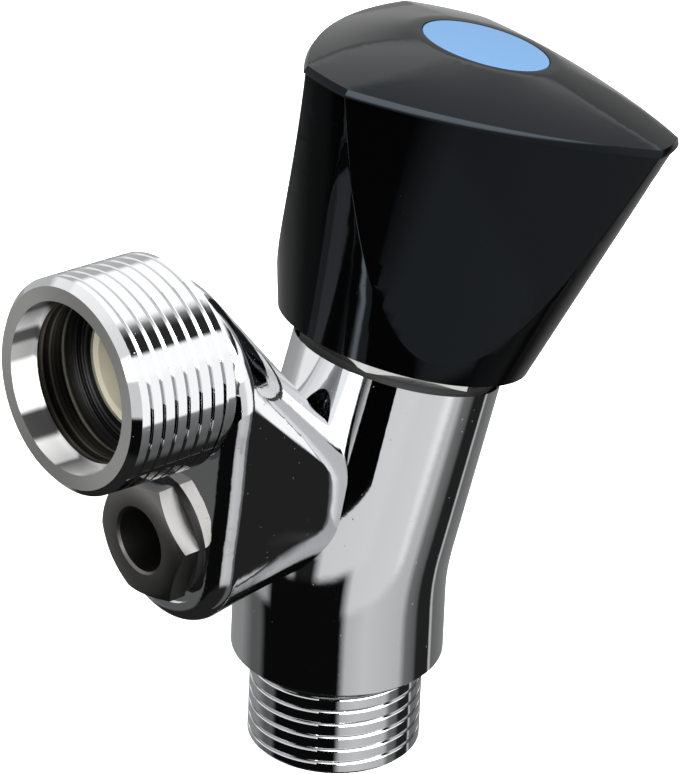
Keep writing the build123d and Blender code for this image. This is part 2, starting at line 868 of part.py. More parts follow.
# Each piece is a separate file
pieces = {
    "valve_body": valve_body,
    "bonnet": bonnet,
    "bonnet_washer": bonnet_washer,
    "check_valve_body": check_valve_body,
    "check_valve_cage": check_valve_cage,
    "check_valve_o_ring": check_valve_o_ring,
    "air_inlet_plug": air_inlet_plug,
    "air_inlet_o_ring": air_inlet_o_ring,
    "handle": handle,
    "index_disc": index_disc,
    "handle_screw": handle_screw,
    "spindle": spindle,
    "spindle_o_ring_upper": spindle_o_ring_upper,
    "spindle_o_ring_lower": spindle_o_ring_lower,
    "spindle_circlip": spindle_circlip,
    "plunger": plunger,
    "plunger_o_ring": plunger_o_ring,
    "seat_washer": seat_washer,
    "washer_screw": washer_screw,
    "check_poppet": check_poppet,
    "check_poppet_seal": check_poppet_seal,
    "check_spring": check_spring,
    "air_valve_disc": air_valve_disc,
    "air_valve_spring": air_valve_spring,
}
for name, piece in pieces.items():
    piece.part.label = name
    export_step(piece.part, f"parts/{name}.step")
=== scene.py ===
"""Finishes, threads, camera, light and stage for the bib tap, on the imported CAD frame."""

import logging
from dataclasses import dataclass
from enum import Enum
from math import cos, pi, radians, sin

import bpy
from mathutils import Euler, Matrix, Vector


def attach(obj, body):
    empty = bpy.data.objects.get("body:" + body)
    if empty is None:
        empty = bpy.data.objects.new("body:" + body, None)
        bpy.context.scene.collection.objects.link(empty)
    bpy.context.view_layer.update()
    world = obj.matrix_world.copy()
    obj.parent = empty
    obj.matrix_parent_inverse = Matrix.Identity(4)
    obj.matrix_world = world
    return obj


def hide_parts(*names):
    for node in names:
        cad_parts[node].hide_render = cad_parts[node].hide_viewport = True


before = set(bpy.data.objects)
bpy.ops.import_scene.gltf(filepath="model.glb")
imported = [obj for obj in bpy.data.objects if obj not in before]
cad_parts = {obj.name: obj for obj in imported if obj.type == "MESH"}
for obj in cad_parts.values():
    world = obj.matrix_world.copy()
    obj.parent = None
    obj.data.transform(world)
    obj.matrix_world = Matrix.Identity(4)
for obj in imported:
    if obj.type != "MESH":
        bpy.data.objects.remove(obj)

LOG = logging.getLogger("bib_tap")
MM = 0.001
PITCH = 1.814 * MM
BISECT_THRESHOLD = 0.0001 * MM
CAD_MERGE = 0.0005 * MM
SHEET_MERGE = 0.001 * MM
BUMP_DISTANCE = 0.02 * MM
CAMERA_AZIMUTH = -40.36
OUTLET_FACE = (-43.0 * MM, 0.0, 62.6 * MM)
OUTLET_RISE = radians(3.6)
OUTLET_TURN = (0.0, pi / 2 + OUTLET_RISE, 0.0)
# Share of a cell that a pit takes up, drawn coarser than real pits so that it shows.
PIT_SHARE = 0.07
# Height of the casting's waves as a share of a pit's depth.
WAVE_SHARE = 0.2
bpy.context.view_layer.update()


class Body(Enum):
    """Names of the CAD bodies that pieces ride on."""

    BASE = "base"
    HANDLE = "handle_assembly"
    PLUNGER = "plunger_assembly"
    CHECK_VALVE = "check_valve"
    AIR_VALVE = "air_valve"


class Texture(Enum):
    """Kinds of fine surface pattern."""

    PLAIN = "plain"
    PITTED = "pitted"
    TURNED = "turned"
    MOULDED = "moulded"


def linear(code: str) -> tuple[float, float, float, float]:
    """Change an sRGB hex colour to linear light.

    Args:
        code: Six hex digits, with or without a leading hash.

    Returns:
        Linear red, green, blue and an alpha of one.
    """
    digits = code.lstrip("#")
    channels = []
    for index in (0, 2, 4):
        value = int(digits[index : index + 2], 16) / 255
        channels.append(value / 12.92 if value <= 0.04045 else ((value + 0.055) / 1.055) ** 2.4)
    return (channels[0], channels[1], channels[2], 1.0)


def add_node(
    tree: bpy.types.NodeTree,
    kind: str,
    settings: dict[str, object] | None = None,
    values: dict[str | int, object] | None = None,
    links: dict[str | int, bpy.types.NodeSocket] | None = None,
) -> bpy.types.Node:
    """Add one node with its settings, constants and incoming links.

    Args:
        tree: Node tree to add to.
        kind: Node type name.
        settings: Attributes to set on the node.
        values: Constants by input name or number.
        links: Source sockets by input name or number.

    Returns:
        The new node.
    """
    node = tree.nodes.new(kind)
    for name, value in (settings or {}).items():
        setattr(node, name, value)
    for key, value in (values or {}).items():
        node.inputs[key].default_value = value
    for key, source in (links or {}).items():
        tree.links.new(source, node.inputs[key])
    return node


def set_ramp(node: bpy.types.Node, stops: list[tuple[float, float]]) -> None:
    """Set a colour ramp to grey stops.

    Args:
        node: Colour ramp node.
        stops: Position and grey level of each stop, in rising order.
    """
    elements = node.color_ramp.elements
    while len(elements) > 1:
        elements.remove(elements[-1])
    for index, (position, level) in enumerate(stops):
        element = elements[0] if index == 0 else elements.new(position)
        element.position = position
        element.color = (level, level, level, 1.0)


@dataclass(frozen=True)
class Finish:
    """One real material with its surface finish."""

    name: str
    colour: str
    metallic: float = 0.0
    roughness: float = 0.4
    specular: float = 0.5
    texture: Texture = Texture.PLAIN
    grain_mm: float = 0.5
    depth: float = 0.1
    axis_point: tuple[float, float, float] = (0.0, 0.0, 0.0)
    axis_turn: tuple[float, float, float] = (0.0, 0.0, 0.0)
    anisotropy: float = 0.0
    tint: str = "#FFFFFF"
    # Painted reflection: grey levels painted into the colour by angle round the turning axis.
    painted_sectors: tuple[tuple[float, float], ...] = ()
    # Painted glints: grey levels painted into the colour by the height of the pattern.
    painted_glints: tuple[tuple[float, float], ...] = ()

    def material(self) -> bpy.types.Material:
        """Make the procedural material, or find it if it was made before.

        Returns:
            The node material.
        """
        made = bpy.data.materials.get(self.name)
        if made is not None:
            return made
        made = bpy.data.materials.new(self.name)
        made.use_nodes = True
        tree = made.node_tree
        tree.nodes.clear()
        shader = add_node(
            tree,
            "ShaderNodeBsdfPrincipled",
            values={
                "Base Color": linear(self.colour),
                "Metallic": self.metallic,
                "Roughness": self.roughness,
                "Specular IOR Level": self.specular,
                "Specular Tint": linear(self.tint),
                "Anisotropic": self.anisotropy,
            },
        )
        output = add_node(tree, "ShaderNodeOutputMaterial")
        tree.links.new(shader.outputs["BSDF"], output.inputs["Surface"])
        if self.texture is not Texture.PLAIN:
            height = self.pattern(tree)
            bump = add_node(
                tree,
                "ShaderNodeBump",
                values={"Strength": self.depth, "Distance": BUMP_DISTANCE},
                links={"Height": height},
            )
            tree.links.new(bump.outputs["Normal"], shader.inputs["Normal"])
            # Painted glints: the pattern's height sets a grey that replaces the colour.
            if self.painted_glints:
                ramp = add_node(tree, "ShaderNodeValToRGB", links={0: height})
                set_ramp(ramp, list(self.painted_glints))
                tree.links.new(ramp.outputs["Color"], shader.inputs["Base Color"])
        if self.anisotropy:
            tree.links.new(self.groove_direction(tree), shader.inputs["Tangent"])
        # Painted sheen: the sectors' grey levels replace the colour.
        if self.painted_sectors:
            tree.links.new(self.sheen(tree), shader.inputs["Base Color"])
        return made

    def turned_place(self, tree: bpy.types.NodeTree) -> bpy.types.NodeSocket:
        """Add the place of a point in the frame of the turning axis.

        Args:
            tree: Node tree of the material.

        Returns:
            Socket that carries the place, with Z along the axis.
        """
        coordinates = add_node(tree, "ShaderNodeTexCoord")
        placed = add_node(
            tree,
            "ShaderNodeMapping",
            settings={"vector_type": "TEXTURE"},
            values={"Location": self.axis_point, "Rotation": self.axis_turn},
            links={"Vector": coordinates.outputs["Object"]},
        )
        return placed.outputs[0]

    def sheen(self, tree: bpy.types.NodeTree) -> bpy.types.NodeSocket:
        """Add a painted sheen: light and dark sectors of grey painted into the colour by angle
        round the axis.

        Args:
            tree: Node tree of the material.

        Returns:
            Socket that carries the grey level.
        """
        parts = add_node(tree, "ShaderNodeSeparateXYZ", links={0: self.turned_place(tree)})
        angle = add_node(
            tree,
            "ShaderNodeMath",
            settings={"operation": "ARCTAN2"},
            links={0: parts.outputs["Y"], 1: parts.outputs["X"]},
        )
        share = add_node(
            tree,
            "ShaderNodeMath",
            settings={"operation": "MULTIPLY_ADD"},
            values={1: 1 / (2 * pi), 2: 0.5},
            links={0: angle.outputs[0]},
        )
        ramp = add_node(tree, "ShaderNodeValToRGB", links={0: share.outputs[0]})
        set_ramp(ramp, [((turn + 180) / 360, level) for turn, level in self.painted_sectors])
        return ramp.outputs["Color"]

    def groove_direction(self, tree: bpy.types.NodeTree) -> bpy.types.NodeSocket:
        """Add the direction that turning marks run in, round the turning axis.

        Args:
            tree: Node tree of the material.

        Returns:
            Socket that carries the direction.
        """
        coordinates = add_node(tree, "ShaderNodeTexCoord")
        spoke = add_node(
            tree,
            "ShaderNodeVectorMath",
            settings={"operation": "SUBTRACT"},
            values={1: self.axis_point},
            links={0: coordinates.outputs["Object"]},
        )
        around = add_node(
            tree,
            "ShaderNodeVectorMath",
            settings={"operation": "CROSS_PRODUCT"},
            values={0: Euler(self.axis_turn).to_matrix() @ Vector((0.0, 0.0, 1.0))},
            links={1: spoke.outputs[0]},
        )
        return around.outputs[0]

    def turning_marks(self, tree: bpy.types.NodeTree) -> bpy.types.NodeSocket:
        """Add rings that change with the distance from the turning axis and along it.

        Args:
            tree: Node tree of the material.

        Returns:
            Socket that carries the rings' height.
        """
        parts = add_node(tree, "ShaderNodeSeparateXYZ", links={0: self.turned_place(tree)})
        across = add_node(
            tree, "ShaderNodeCombineXYZ", links={0: parts.outputs["X"], 1: parts.outputs["Y"]}
        )
        radius = add_node(
            tree,
            "ShaderNodeVectorMath",
            settings={"operation": "LENGTH"},
            links={0: across.outputs[0]},
        )
        along = add_node(
            tree,
            "ShaderNodeCombineXYZ",
            links={0: radius.outputs["Value"], 1: parts.outputs["Z"]},
        )
        grooves = add_node(
            tree,
            "ShaderNodeTexNoise",
            values={"Scale": 1 / (self.grain_mm * MM), "Detail": 3.0, "Roughness": 0.6},
            links={"Vector": along.outputs[0]},
        )
        return grooves.outputs["Fac"]

    def pattern(self, tree: bpy.types.NodeTree) -> bpy.types.NodeSocket:
        """Add the fine surface pattern.

        Args:
            tree: Node tree of the material.

        Returns:
            Socket that carries the pattern's height.
        """
        if self.texture is Texture.TURNED:
            return self.turning_marks(tree)
        scale = 1 / (self.grain_mm * MM)
        coordinates = add_node(tree, "ShaderNodeTexCoord")
        noise = add_node(
            tree,
            "ShaderNodeTexNoise",
            values={"Scale": scale, "Detail": 4.0, "Roughness": 0.55},
            links={"Vector": coordinates.outputs["Object"]},
        )
        if self.texture is Texture.MOULDED:
            return noise.outputs["Fac"]
        pits = add_node(
            tree,
            "ShaderNodeTexVoronoi",
            values={"Scale": scale, "Randomness": 1.0},
            links={"Vector": coordinates.outputs["Object"]},
        )
        edge = add_node(
            tree,
            "ShaderNodeMapRange",
            values={"From Min": 0.0, "From Max": PIT_SHARE},
            links={"Value": pits.outputs["Distance"]},
        )
        mixed = add_node(
            tree,
            "ShaderNodeMath",
            settings={"operation": "MULTIPLY_ADD"},
            values={1: WAVE_SHARE},
            links={0: noise.outputs["Fac"], 2: edge.outputs["Result"]},
        )
        return mixed.outputs[0]


# Chromed brass, polished: a mirror with tiny pits and a slight waviness from the casting under it.
CHROME = Finish(
    "chrome_plate_polished", "#DADBDD", 1.0, 0.035, texture=Texture.PITTED, grain_mm=1.5, depth=0.8
)
# Chromed brass, faced on a lathe: flat satin grey with rings.
FACED_CHROME = Finish(
    "chrome_plate_faced",
    "#C8C8C6",
    metallic=1.0,
    roughness=0.30,
    texture=Texture.TURNED,
    grain_mm=0.25,
    depth=0.4,
    axis_point=OUTLET_FACE,
    axis_turn=OUTLET_TURN,
    anisotropy=0.6,
)
# Chromed brass, bored: painted reflection, light and dark sectors painted into the colour by angle
# round the bore's axis, where turning marks would gather the light.
# Each stop is an angle in degrees from the bore's lowest line and a grey level.
MOUTH_PAINTED_SECTORS = (
    (-180, 0.05),
    (-40, 0.05),
    (-20, 0.5),
    (3, 0.08),
    (6, 0.45),
    (26, 0.6),
    (30, 0.04),
    (47, 0.04),
    (51, 1.0),
    (81, 1.0),
    (84, 0.35),
    (94, 0.4),
    (97, 0.08),
    (104, 0.08),
    (108, 0.7),
    (122, 0.45),
    (128, 0.03),
    (180, 0.03),
)
MOUTH_CHROME = Finish(
    "chrome_plate_bored_painted_sheen",
    "#DADAD8",
    metallic=0.15,
    roughness=0.3,
    texture=Texture.TURNED,
    grain_mm=0.3,
    depth=0.6,
    axis_point=OUTLET_FACE,
    axis_turn=OUTLET_TURN,
    painted_sectors=MOUTH_PAINTED_SECTORS,
)
# Chromed brass deep in the bore: dark grey, with painted glints, lighter rings painted into the
# colour along the coarse turning pattern. Each stop of the painted glints is a height of the
# pattern and a grey level.
BORE_PAINTED_GLINTS = ((0.38, 0.02), (0.5, 0.07), (0.6, 0.4))
BORE_CHROME = Finish(
    "chrome_plate_deep_bore_painted_glints",
    "#5A5A58",
    metallic=1.0,
    roughness=0.30,
    texture=Texture.TURNED,
    grain_mm=0.5,
    depth=1.0,
    axis_point=OUTLET_FACE,
    axis_turn=OUTLET_TURN,
    anisotropy=0.9,
    painted_glints=BORE_PAINTED_GLINTS,
)
# Bright nickel on the headwork: a soft, near-white shine.
BRIGHT_NICKEL = Finish(
    "nickel_plate_bright", "#DEDEDD", 1.0, 0.15, texture=Texture.MOULDED, grain_mm=0.5, depth=0.1
)
# Dull nickel on the plug: dark grey that only its flats light up.
NICKEL = Finish(
    "nickel_plate_dull", "#6A6967", 1.0, 0.32, texture=Texture.MOULDED, grain_mm=0.4, depth=0.2
)
# Turned brass: warm and half bright.
BRASS = Finish(
    "brass_turned", "#C9A65A", 1.0, 0.22, texture=Texture.MOULDED, grain_mm=0.5, depth=0.1
)
# Gloss black ABS: deep black with faint cool reflections and a few specks.
BLACK_ABS = Finish(
    "abs_gloss_black",
    "#020202",
    roughness=0.06,
    specular=0.2,
    texture=Texture.PITTED,
    grain_mm=2.2,
    depth=0.6,
    tint="#DDF0FF",
)
# Satin blue ABS: even colour with hardly any shine.
BLUE_ABS = Finish(
    "abs_satin_blue", "#507AA3", 0.0, 0.30, texture=Texture.MOULDED, grain_mm=0.6, depth=0.05
)
# Acetal, moulded: waxy satin.
CREAM_POM = Finish(
    "acetal_satin_cream", "#EFE8CF", 0.0, 0.35, texture=Texture.MOULDED, grain_mm=0.6, depth=0.08
)
# The same acetal coloured black: a soft grey sheen on its edges only.
BLACK_POM = Finish(
    "acetal_satin_black", "#141414", 0.0, 0.35, texture=Texture.MOULDED, grain_mm=0.6, depth=0.08
)
# Nitrile rubber, moulded: matt black.
RUBBER = Finish(
    "nitrile_rubber_matt_black",
    "#101010",
    roughness=0.6,
    texture=Texture.MOULDED,
    grain_mm=0.3,
    depth=0.2,
)
# Stainless steel, drawn or turned: plain grey shine.
STEEL = Finish(
    "stainless_steel_plain", "#A9A9AB", 1.0, 0.25, texture=Texture.MOULDED, grain_mm=0.4, depth=0.1
)
# Black cloth, matt: a dark shape in the chrome.
BLACK_CLOTH = Finish("cloth_matt_black", "#040404", roughness=1.0, specular=0.0)


def deselect() -> None:
    """Leave object mode's selection empty."""
    bpy.ops.object.select_all(action="DESELECT")


def make_active(piece: bpy.types.Object) -> None:
    """Select one object alone and make it active.

    Args:
        piece: Object to select.
    """
    deselect()
    piece.select_set(True)
    bpy.context.view_layer.objects.active = piece


def dress(piece: bpy.types.Object, finish: Finish) -> None:
    """Give an object one material.

    Args:
        piece: Object to dress.
        finish: Finish to use.
    """
    piece.data.materials.clear()
    piece.data.materials.append(finish.material())


def smooth_copy(node: str, name: str, angle: float = 30.0) -> bpy.types.Object:
    """Copy a CAD node, merge its vertices and shade it smooth.

    Args:
        node: CAD node to copy.
        name: Name of the new piece.
        angle: Edges sharper than this many degrees stay sharp.

    Returns:
        The new piece, not yet riding on a body.
    """
    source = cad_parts[node]
    piece = bpy.data.objects.new(name, source.data.copy())
    piece.data.name = name
    bpy.context.scene.collection.objects.link(piece)
    make_active(piece)
    if piece.data.has_custom_normals:
        bpy.ops.mesh.customdata_custom_splitnormals_clear()
    bpy.ops.object.mode_set(mode="EDIT")
    bpy.ops.mesh.select_all(action="SELECT")
    bpy.ops.mesh.remove_doubles(threshold=CAD_MERGE)
    bpy.ops.object.mode_set(mode="OBJECT")
    bpy.ops.object.shade_smooth_by_angle(angle=radians(angle))
    return piece


def stand_in(piece: bpy.types.Object, node: str, body: Body) -> None:
    """Let a piece stand for a CAD node.

    Args:
        piece: The finished piece.
        node: CAD node that it replaces.
        body: Body that it rides on.
    """
    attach(piece, body.value)
    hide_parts(node)


def turned_sheet(
    name: str, profile: list[tuple[float, float]], steps: int, pitch: float = 0.0, turns: int = 1
) -> bpy.types.Object:
    """Turn an open profile about Z, with or without a thread's rise.

    Args:
        name: Name of the new piece.
        profile: Radius and height of each point, in metres.
        steps: Steps in one turn.
        pitch: Rise in one turn.
        turns: Number of turns.

    Returns:
        The new piece, its faces pointing away from the axis or up.
    """
    deselect()
    bpy.ops.mesh.primitive_plane_add(size=MM)
    piece = bpy.context.active_object
    piece.name = name
    piece.data.name = name
    points = [Vector((radius, 0.0, height)) for radius, height in profile]
    bpy.ops.object.mode_set(mode="EDIT")
    bpy.ops.mesh.select_mode(type="VERT")
    bpy.ops.mesh.select_all(action="SELECT")
    bpy.ops.mesh.merge(type="CENTER")
    bpy.ops.transform.translate(value=points[0])
    for start, end in zip(points, points[1:]):
        bpy.ops.mesh.extrude_region_move(TRANSFORM_OT_translate={"value": end - start})
    bpy.ops.object.mode_set(mode="OBJECT")
    screw = piece.modifiers.new("turn", "SCREW")
    screw.axis = "Z"
    screw.angle = 2 * pi
    screw.screw_offset = pitch
    screw.iterations = turns
    screw.steps = steps
    screw.render_steps = steps
    screw.use_merge_vertices = True
    screw.merge_threshold = SHEET_MERGE
    make_active(piece)
    bpy.ops.object.modifier_apply(modifier=screw.name)
    bpy.ops.object.mode_set(mode="EDIT")
    bpy.ops.mesh.select_all(action="SELECT")
    bpy.ops.mesh.remove_doubles(threshold=SHEET_MERGE)
    bpy.ops.object.mode_set(mode="OBJECT")
    return piece


def face_outward(piece: bpy.types.Object) -> None:
    """Flip a turned sheet whose faces point to its axis.

    Args:
        piece: Sheet turned about Z.
    """
    total = 0.0
    for polygon in piece.data.polygons:
        outward = Vector((polygon.center.x, polygon.center.y, 0.0)).normalized()
        total += polygon.normal.dot(outward) * polygon.area
    if total < 0:
        make_active(piece)
        bpy.ops.object.mode_set(mode="EDIT")
        bpy.ops.mesh.select_all(action="SELECT")
        bpy.ops.mesh.flip_normals()
        bpy.ops.object.mode_set(mode="OBJECT")


@dataclass
class PipeThread:
    """A male pipe thread cut into a plain cylinder of the casting."""

    name: str
    crest_radius: float
    low: float
    high: float
    axis_frame: Matrix
    depth: float = 0.5 * MM
    tooth: tuple[tuple[float, float], ...] = (
        (0.0, 1.0),
        (0.04, 1.0),
        (0.13, 0.14),
        (0.19, 0.0),
        (0.88, 0.0),
        (0.94, 0.14),
        (1.0, 1.0),
    )
    steps: int = 96
    spare_turns: int = 3
    ring_overlap: float = 0.05 * MM
    cylinder_tolerance: float = 0.02 * MM
    reach: tuple[float, float] = (2.0 * MM, 8.0 * MM)

    def build(self) -> list[bpy.types.Object]:
        """Make the helical surface and the two rings that close its ends.

        Returns:
            The new pieces, placed on the thread's axis.
        """
        root = self.crest_radius - self.depth
        start = self.low - PITCH
        profile = [
            (self.crest_radius - self.depth * fall, start + PITCH * share)
            for share, fall in self.tooth
        ]
        turns = int((self.high - self.low) / PITCH) + self.spare_turns
        helix = turned_sheet(self.name, profile, self.steps, PITCH, turns)
        make_active(helix)
        bpy.ops.object.mode_set(mode="EDIT")
        for height, low_side in ((self.low, True), (self.high, False)):
            bpy.ops.mesh.select_all(action="SELECT")
            bpy.ops.mesh.bisect(
                plane_co=(0.0, 0.0, height),
                plane_no=(0.0, 0.0, 1.0),
                clear_inner=low_side,
                clear_outer=not low_side,
                threshold=BISECT_THRESHOLD,
            )
        bpy.ops.object.mode_set(mode="OBJECT")
        face_outward(helix)
        pieces = [helix]
        for label, height in (("low", self.low), ("high", self.high)):
            ring = turned_sheet(
                f"{self.name}_{label}_ring",
                [(root - self.ring_overlap, height), (self.crest_radius, height)],
                self.steps,
            )
            pieces.append(ring)
        for piece in pieces:
            piece.data.transform(self.axis_frame)
            piece.data.update()
        return pieces

    def open_casting(self, casting: bpy.types.Object) -> None:
        """Take the plain cylinder's faces off the casting between the thread's ends.

        Args:
            casting: Merged copy of the casting.
        """
        back = self.axis_frame.inverted()
        make_active(casting)
        for vertex in casting.data.vertices:
            vertex.select = False
        for edge in casting.data.edges:
            edge.select = False
        self.select_cylinder(casting)
        bpy.ops.object.mode_set(mode="EDIT")
        bpy.ops.mesh.select_mode(type="FACE")
        normal = self.axis_frame.to_3x3() @ Vector((0.0, 0.0, 1.0))
        for height in (self.low, self.high):
            bpy.ops.mesh.bisect(
                plane_co=self.axis_frame @ Vector((0.0, 0.0, height)),
                plane_no=normal,
                threshold=BISECT_THRESHOLD,
            )
            bpy.ops.object.mode_set(mode="OBJECT")
            self.select_cylinder(casting)
            bpy.ops.object.mode_set(mode="EDIT")
        bpy.ops.object.mode_set(mode="OBJECT")
        for polygon in casting.data.polygons:
            place = back @ polygon.center
            polygon.select = polygon.select and self.low < place.z < self.high
        bpy.ops.object.mode_set(mode="EDIT")
        bpy.ops.mesh.delete(type="FACE")
        bpy.ops.object.mode_set(mode="OBJECT")

    def select_cylinder(self, casting: bpy.types.Object) -> None:
        """Select the casting's faces that lie on the plain cylinder, and no others.

        Args:
            casting: Merged copy of the casting, in object mode.
        """
        back = self.axis_frame.inverted()
        places = casting.data.vertices
        for polygon in casting.data.polygons:
            polygon.select = all(
                self.on_cylinder(back @ places[index].co) for index in polygon.vertices
            )

    def on_cylinder(self, point: Vector) -> bool:
        """Tell whether a point in the thread's frame lies on its plain cylinder.

        Args:
            point: Point in the thread's frame.

        Returns:
            True if the point is on the crest cylinder.
        """
        radius = Vector((point.x, point.y)).length
        near = abs(radius - self.crest_radius) < self.cylinder_tolerance
        return near and self.low - self.reach[0] < point.z < self.high + self.reach[1]


@dataclass
class Casting:
    """Body casting with its two pipe threads."""

    outlet_radius: float = 13.22 * MM
    face_radius: float = 12.35 * MM
    face_depth: float = 0.05 * MM
    smooth_angle: float = 14.0
    mouth_depth: float = 3.42 * MM
    bore_depth: float = 16.0 * MM
    outlet_thread: tuple[float, float] = (0.95 * MM, 13.4 * MM)
    inlet_radius: float = 10.48 * MM
    inlet_thread: tuple[float, float] = (0.52 * MM, 11.7 * MM)

    def outlet_frame(self) -> Matrix:
        """Place the outlet's frame: +Z runs into the tap along the outlet axis.

        Returns:
            Matrix from the outlet's frame to the row frame.
        """
        return Matrix.Translation(OUTLET_FACE) @ Matrix.Rotation(OUTLET_TURN[1], 4, "Y")

    def build(self) -> bpy.types.Object:
        """Copy the casting, cut its threads and join them.

        Returns:
            The finished casting.
        """
        casting = smooth_copy("valve_body", "tap_casting", self.smooth_angle)
        threads = [
            PipeThread(
                "outlet_thread", self.outlet_radius, *self.outlet_thread, self.outlet_frame()
            ),
            PipeThread("inlet_thread", self.inlet_radius, *self.inlet_thread, Matrix.Identity(4)),
        ]
        added = []
        for thread in threads:
            thread.open_casting(casting)
            added.extend(thread.build())
        make_active(casting)
        for piece in added:
            piece.select_set(True)
        bpy.ops.object.join()
        bpy.ops.object.shade_smooth_by_angle(angle=radians(self.smooth_angle))
        self.dress(casting)
        stand_in(casting, "valve_body", Body.BASE)
        return casting

    def dress(self, casting: bpy.types.Object) -> None:
        """Give the casting polished plate, with turned plate on the outlet's face and bores.

        Args:
            casting: The casting with its threads.
        """
        casting.data.materials.clear()
        for finish in (CHROME, FACED_CHROME, MOUTH_CHROME, BORE_CHROME):
            casting.data.materials.append(finish.material())
        back = self.outlet_frame().inverted()
        for polygon in casting.data.polygons:
            place = back @ polygon.center
            near = Vector((place.x, place.y)).length < self.face_radius
            polygon.material_index = 0
            if near and -self.face_depth < place.z < self.bore_depth:
                limits = (self.face_depth, self.mouth_depth)
                polygon.material_index = 1 + sum(place.z > limit for limit in limits)


@dataclass
class SmoothPiece:
    """A CAD node shown with merged, smoothly shaded faces."""

    node: str
    body: Body
    slot: str
    finish: Finish
    angle: float = 30.0

    def build(self) -> bpy.types.Object:
        """Make the piece and let it stand for its node.

        Returns:
            The finished piece.
        """
        piece = smooth_copy(self.node, f"{self.node}_finished", self.angle)
        dress(piece, self.finish)
        stand_in(piece, self.node, self.body)
        return piece


NODE_FINISHES: dict[str, Finish] = {
    "valve_body": CHROME,
    "bonnet": BRIGHT_NICKEL,
    "bonnet_washer": RUBBER,
    "check_valve_body": CREAM_POM,
    "check_valve_cage": BLACK_POM,
    "check_valve_o_ring": RUBBER,
    "air_inlet_plug": NICKEL,
    "air_inlet_o_ring": RUBBER,
    "handle": BLACK_ABS,
    "index_disc": BLUE_ABS,
    "handle_screw": STEEL,
    "spindle": BRASS,
    "spindle_o_ring_upper": RUBBER,
    "spindle_o_ring_lower": RUBBER,
    "spindle_circlip": STEEL,
    "plunger": BRASS,
    "plunger_o_ring": RUBBER,
    "seat_washer": RUBBER,
    "washer_screw": STEEL,
    "check_poppet": BLACK_POM,
    "check_poppet_seal": RUBBER,
    "check_spring": STEEL,
    "air_valve_disc": RUBBER,
    "air_valve_spring": STEEL,
}

SMOOTH_PIECES: list[SmoothPiece] = [
    SmoothPiece("handle", Body.HANDLE, "black_plastic", BLACK_ABS, 25.0),
    SmoothPiece("index_disc", Body.HANDLE, "blue_plastic", BLUE_ABS),
    SmoothPiece("air_inlet_plug", Body.BASE, "dark_nickel", NICKEL),
    SmoothPiece("air_inlet_o_ring", Body.BASE, "black_rubber", RUBBER),
    SmoothPiece("bonnet", Body.BASE, "bright_nickel", BRIGHT_NICKEL),
    SmoothPiece("bonnet_washer", Body.BASE, "black_rubber", RUBBER),
    SmoothPiece("check_valve_body", Body.BASE, "cream_plastic", CREAM_POM),
    SmoothPiece("check_valve_cage", Body.BASE, "black_plastic", BLACK_POM),
    SmoothPiece("check_poppet", Body.CHECK_VALVE, "black_plastic", BLACK_POM),
]


@dataclass(frozen=True)
class WallBand:
    """One level band of the studio walls that the chrome reflects.

    The edge is where the band fades in over the one below it, in degrees of height. Each stop is
    a turn in degrees from the camera, right positive, and a brightness.
    """

    edge: tuple[float, float]
    stops: tuple[tuple[float, float], ...]


